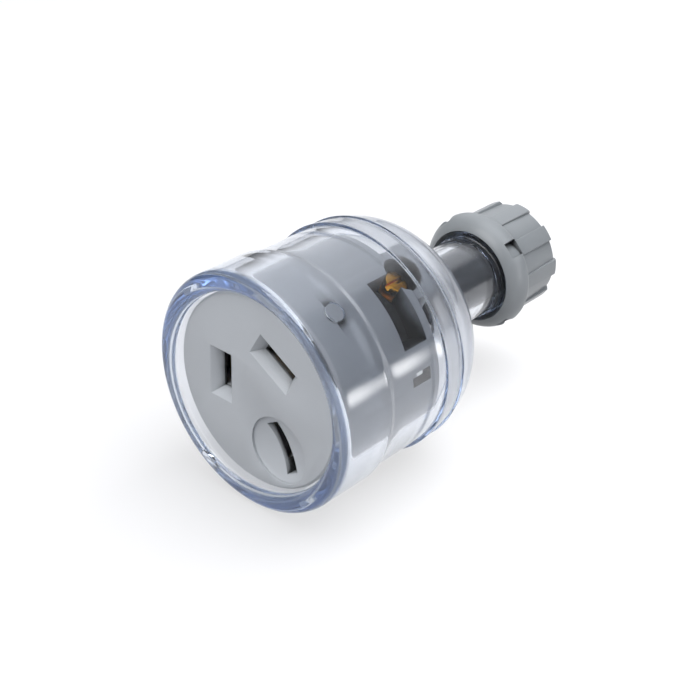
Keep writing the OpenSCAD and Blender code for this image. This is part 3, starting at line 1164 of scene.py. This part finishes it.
@dataclass
class InnerPiece:
    """Piece whose CAD shape is kept, with its edges softened."""

    node: str
    body: Body
    slot: Slot
    softening: float
    segments: int = 2
    merge_mm: float = 0.002
    flat_degrees: float = 0.3
    edge_degrees: float = 32.0

    def build(self, material: bpy.types.Material) -> bpy.types.Object:
        """Copy the CAD node and soften its edges.

        Args:
            material: Material of the piece.

        Returns:
            The finished piece.
        """
        bm = bmesh.new()
        bm.from_mesh(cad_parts[self.node].data)
        bmesh.ops.remove_doubles(bm, verts=bm.verts, dist=self.merge_mm * MM)
        bmesh.ops.dissolve_limit(
            bm,
            angle_limit=math.radians(self.flat_degrees),
            verts=bm.verts,
            edges=bm.edges,
            delimit={"NORMAL"},
        )
        if self.softening:
            limit = math.radians(self.edge_degrees)
            sharp = [e for e in bm.edges if e.is_manifold and e.calc_face_angle(0) > limit]
            soften(bm, sharp, self.softening, self.segments)
            bmesh.ops.dissolve_degenerate(bm, dist=self.merge_mm * MM, edges=bm.edges)
        return finish_piece(f"{self.node}_piece", bm, material, self.body, self.node)


@dataclass
class SocketInsides:
    """Socket base with its contacts, terminals and screws, and the gland's collet."""

    poles: tuple[str, ...] = ("active", "neutral", "earth")

    def build(self) -> None:
        """Dress the base, the brass pieces and the collet."""
        base = MouldedPlastic(
            "Grey moulded polycarbonate",
            "#B6BABF",
            "#AFB3B8",
            roughness=0.5,
            grain_mm=0.35,
            grain_height_mm=0.012,
            # Painted shade: the base's slots, pockets and channels are darkened nearly to black.
            painted_recess_shade="#08090A",
            painted_shade_side_shift=0.33,
        ).build()
        collet = MouldedPlastic(
            "Dark grey moulded nylon",
            "#4A4E55",
            "#42464D",
            roughness=0.42,
            grain_mm=0.4,
            grain_height_mm=0.015,
        ).build()
        strip = Brass("Rolled brass strip", "#C9A45C", "#A9843F", roughness=0.32, line_mm=0.12).build()
        block = Brass("Machined brass", "#CFAE68", "#B48F4A", roughness=0.3, line_mm=0.1).build()
        screw = Brass("Turned brass", "#E0A93C", "#B87A1E", roughness=0.22, line_mm=0.08).build()
        InnerPiece("socket_base", Body.SOCKET, Slot.BASE, softening=0.1).build(base)
        InnerPiece("gland_collet", Body.CORD_GRIP, Slot.COLLET, softening=0.1).build(collet)
        for pole in self.poles:
            InnerPiece(f"{pole}_contact", Body.SOCKET, Slot.CONTACT, softening=0.06).build(strip)
            InnerPiece(f"{pole}_terminal", Body.SOCKET, Slot.TERMINAL, softening=0.12).build(block)
            InnerPiece(f"{pole}_screw", Body.SOCKET, Slot.SCREW, softening=0.08).build(screw)


@dataclass(frozen=True)
class SkyPatch:
    """Part of the room that is lighter or darker than the rest, with a soft border."""

    way: tuple[float, float, float]
    change: float
    full_degrees: float
    end_degrees: float


@dataclass
class Studio:
    """Camera, paper sweeps and lights of the picture.

    The object lies on its side in the picture, so the picture's own axes are turned against the part's.
    """

    right: Vector = Vector((-0.65978, -0.34935, 0.66531))
    down: Vector = Vector((0.11623, -0.92215, -0.36896))
    forward: Vector = Vector((0.74242, -0.1661, 0.64902))
    eye: Vector = Vector((-0.1903, 0.04111, -0.14243))
    up: Vector = Vector((-0.4644, 0.8856, 0.0))
    lens_pixels: float = 1500.0
    picture_pixels: float = 700.0
    sensor_mm: float = 36.0
    sweep_drop: float = 0.02135
    inner_reflections: int = 16
    room_level: float = 0.13
    # In order: the back key that veils the cover's upper side, the overhead light, the rear light that
    # draws lines on the cover's steps, and the fill from the camera's right.
    patches: tuple[SkyPatch, ...] = (
        SkyPatch((0.1, 0.754, 0.649), 1.1, 22.0, 43.0),
        SkyPatch((-0.5, 0.86, -0.1), 2.7, 10.0, 40.0),
        SkyPatch((0.0, 0.2, 0.98), 1.3, 4.0, 14.0),
        SkyPatch((-0.95, 0.15, 0.08), 1.8, 12.0, 35.0),
    )
    air: str = "#F2F4F8"
    softbox: tuple[float, float] = (0.4, 0.4)
    front_away: float = 0.6
    front_level: float = 4.5
    shadow_away: float = 0.5
    shadow_level: float = 6.5
    sweep_half: float = 6.0
    table_drop: float = 0.00005
    table_glow: float = 0.74
    clip_start: float = 0.005
    spare_bounces: int = 8
    aim: Vector = Vector((0.0, 0.0, 0.03))
    front_light: Vector = Vector((-0.2, 0.55, -0.8))
    shadow_light: Vector = Vector((-0.633, 0.626, 0.374))
    streaks: tuple[Vector, ...] = (
        Vector((-0.02009, -0.00354, 0.0148)),
        Vector((-0.02097, -0.00313, -0.001)),
    )
    streak_way: Vector = Vector((-0.611, -0.426, 0.667))
    streak_away: float = 0.075
    streak_half: tuple[float, float] = (0.012, 0.009)
    streak_level: float = 8.0

    def add_camera(self) -> None:
        """Put the camera where the photograph was taken."""
        data = bpy.data.cameras.new("camera")
        data.sensor_width = self.sensor_mm
        data.lens = self.sensor_mm * self.lens_pixels / self.picture_pixels
        data.clip_start = self.clip_start
        camera = bpy.data.objects.new("camera", data)
        turn = Matrix((self.right, -self.down, -self.forward)).transposed()
        camera.matrix_world = Matrix.Translation(self.eye) @ turn.to_4x4()
        bpy.context.scene.collection.objects.link(camera)
        bpy.context.scene.camera = camera

    def add_sweep(
        self, name: str, point: Vector, normal: Vector, material: bpy.types.Material
    ) -> bpy.types.Object:
        """Lay a large sheet of paper.

        Args:
            name: Name of the sheet.
            point: Point that the sheet passes through.
            normal: Direction of its printed side.
            material: Its material.

        Returns:
            The sheet.
        """
        bm = bmesh.new()
        turn = Vector((0, 0, 1)).rotation_difference(normal).to_matrix().to_4x4()
        bmesh.ops.create_grid(
            bm, x_segments=1, y_segments=1, size=self.sweep_half, matrix=Matrix.Translation(point) @ turn
        )
        sheet = new_object(name, bm, material)
        return sheet

    def flag(self, lamp: bpy.types.Object, sheets: list[bpy.types.Object], state: Flag) -> None:
        """Keep a lamp's light off some sheets or on them alone, as a flag on a stand does.

        Args:
            lamp: Lamp that is flagged.
            sheets: Sheets that it no longer lights, or that it lights alone.
            state: What the flag does.
        """
        flagged = bpy.data.collections.new(f"{lamp.name}_flag")
        lamp.light_linking.receiver_collection = flagged
        for sheet in sheets:
            flagged.objects.link(sheet)
        for entry in flagged.collection_objects:
            entry.light_linking.link_state = state.value

    def add_lamp(
        self, name: str, place: Vector, target: Vector, size: tuple[float, float], level: float
    ) -> bpy.types.Object:
        """Hang a softbox.

        Args:
            name: Name of the lamp.
            place: Middle of the softbox.
            target: Point that it faces.
            size: Width and height of its cloth.
            level: Brightness of its cloth, where 1 is white.

        Returns:
            The lamp.
        """
        data = bpy.data.lights.new(name, "AREA")
        data.shape = "RECTANGLE"
        data.size, data.size_y = size
        data.energy = level * math.pi * size[0] * size[1]
        lamp = bpy.data.objects.new(name, data)
        facing = (target - place).normalized()
        lamp.matrix_world = Matrix.Translation(place) @ facing.to_track_quat("-Z", "Y").to_matrix().to_4x4()
        lamp.visible_camera = False
        bpy.context.scene.collection.objects.link(lamp)
        return lamp

    def add_cloth(self, name: str, place: Vector, target: Vector) -> None:
        """Hang a small softbox that fades out to its edges.

        Args:
            name: Name of the softbox.
            place: Middle of its cloth.
            target: Point that it faces.
        """
        turn = (target - place).to_track_quat("Z", "Y").to_matrix().to_4x4()
        size = Matrix.Diagonal((*self.streak_half, 1.0, 1.0))
        bm = bmesh.new()
        bmesh.ops.create_grid(
            bm, x_segments=1, y_segments=1, size=1.0, matrix=Matrix.Translation(place) @ turn @ size
        )
        glow = GlowingCloth(f"{name} cloth", place, turn, self.streak_half, self.streak_level)
        cloth = new_object(name, bm, glow.build())
        cloth.visible_camera = False
        cloth.visible_transmission = False

    def add_world(self) -> None:
        """Fill the room with plain light and its lighter and darker patches."""
        world = bpy.data.worlds.new("room")
        world.use_nodes = True
        tree = world.node_tree
        tree.nodes.clear()
        way = add_node(tree, "ShaderNodeTexCoord").outputs["Generated"]
        strength = add_node(tree, "ShaderNodeValue").outputs[0]
        strength.default_value = self.room_level
        for patch in self.patches:
            towards = add_node(
                tree,
                "ShaderNodeVectorMath",
                {"operation": "DOT_PRODUCT"},
                {0: way, 1: Vector(patch.way).normalized()},
            )
            change = add_node(
                tree,
                "ShaderNodeMapRange",
                {"interpolation_type": "SMOOTHSTEP"},
                {
                    "Value": towards.outputs["Value"],
                    "From Min": math.cos(math.radians(patch.end_degrees)),
                    "From Max": math.cos(math.radians(patch.full_degrees)),
                    "To Min": 0.0,
                    "To Max": patch.change,
                },
            )
            strength = add_node(
                tree, "ShaderNodeMath", {"operation": "ADD"}, {0: strength, 1: change.outputs["Result"]}
            ).outputs[0]
        air = add_node(
            tree, "ShaderNodeBackground", inputs={"Color": linear(self.air), "Strength": strength}
        )
        add_node(tree, "ShaderNodeOutputWorld", inputs={"Surface": air.outputs["Background"]})
        bpy.context.scene.world = world

    def build(self) -> None:
        """Set up the camera, the paper and the lights."""
        self.add_camera()
        paper = PaperSweep("White paper").build()
        table = PaperSweep("White table paper", glow=self.table_glow, camera_only=True).build()
        sheets = [
            self.add_sweep("side_sweep", -self.up * self.sweep_drop, self.up, paper),
            self.add_sweep("table_sweep", Vector((0, 0, -self.table_drop)), Vector((0, 0, 1)), table),
        ]
        self.add_world()
        front = self.aim + self.front_light.normalized() * self.front_away
        lamp = self.add_lamp("front_softbox", front, self.aim, self.softbox, self.front_level)
        self.flag(lamp, sheets, Flag.KEEP_OFF)
        high = self.shadow_light.normalized() * self.shadow_away
        lamp = self.add_lamp("shadow_softbox", high, self.aim, self.softbox, self.shadow_level)
        self.flag(lamp, sheets[:1], Flag.ONLY_ON)
        for number, spot in enumerate(self.streaks):
            place = spot + self.streak_way.normalized() * self.streak_away
            self.add_cloth(f"streak_softbox_{number}", place, spot)
        scene = bpy.context.scene
        scene.view_settings.view_transform = "Standard"
        scene.cycles.glossy_bounces = self.inner_reflections
        scene.cycles.max_bounces = self.inner_reflections + self.spare_bounces


def main() -> None:
    """Build the scene in order."""
    logging.basicConfig(level=logging.INFO, format="%(name)s: %(message)s")
    Studio().build()
    ClearCover().build(ClearPolycarbonate().build())
    nylon = MouldedPlastic(
        "Grey moulded nylon",
        "#909497",
        "#888C8F",
        roughness=0.34,
        grain_mm=0.4,
        grain_height_mm=0.012,
        # Painted shade: the nut's bore and pockets are darkened.
        painted_recess_shade="#17181A",
        painted_shade_open=(0.3, 0.55),
    )
    GlandNut().build(nylon.build())
    SocketInsides().build()


if __name__ == "__main__":
    main()
